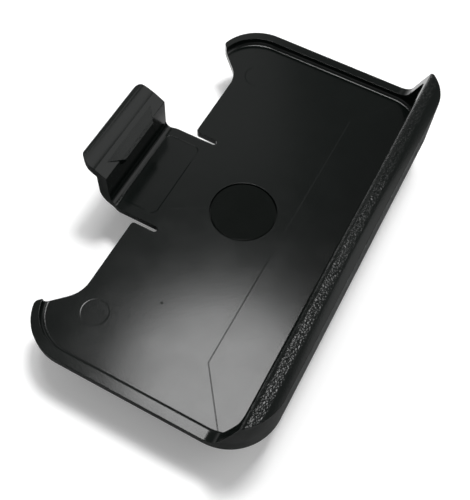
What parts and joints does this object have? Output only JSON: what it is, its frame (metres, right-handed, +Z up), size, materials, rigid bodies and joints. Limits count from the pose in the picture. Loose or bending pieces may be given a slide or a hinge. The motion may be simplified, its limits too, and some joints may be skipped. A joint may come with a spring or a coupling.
{
  "type": "belt holster tray for a rugged phone case",
  "caption": "Snap-in belt holster tray with a lipped side channel, end rims and a sprung latch, on a swivelling spring belt clip.",
  "frame": {"origin": "where the swivel axis meets the surface that the clip's lever lies on", "axes": "+X towards the channel, -X towards the latch, +Y along the tray towards the clip's thumb pad, +Z up out of the open tray"},
  "size_m": [0.0834, 0.1328, 0.0323],
  "materials": {
    "tray": "satin black moulded plastic, leather grain on the lip",
    "pivot_cap": "satin black moulded plastic",
    "clip": "satin black moulded plastic",
    "steel": "plain bright steel"
  },
  "bodies": {
    "holster": {"tray": "tray"},
    "clip": {"clip_base": "clip", "pivot_cap": "pivot_cap", "hinge_pin": "steel", "lever_spring": "steel"},
    "lever": {"clip_lever": "clip"}
  },
  "joints": [
    {"name": "swivel", "type": "hinge", "parent": "holster", "child": "clip", "pos_m": [0, 0, 0.012], "axis": [0, 0, 1], "continuous": true},
    {"name": "lever_hinge", "type": "hinge", "parent": "clip", "child": "lever", "pos_m": [0, 0.02, 0.0062], "axis": [1, 0, 0], "range_deg": [0, 16], "stiffness_Nm_per_rad": 0.3, "springref_deg": -28.65, "deforming": ["lever_spring"]}
  ]
}
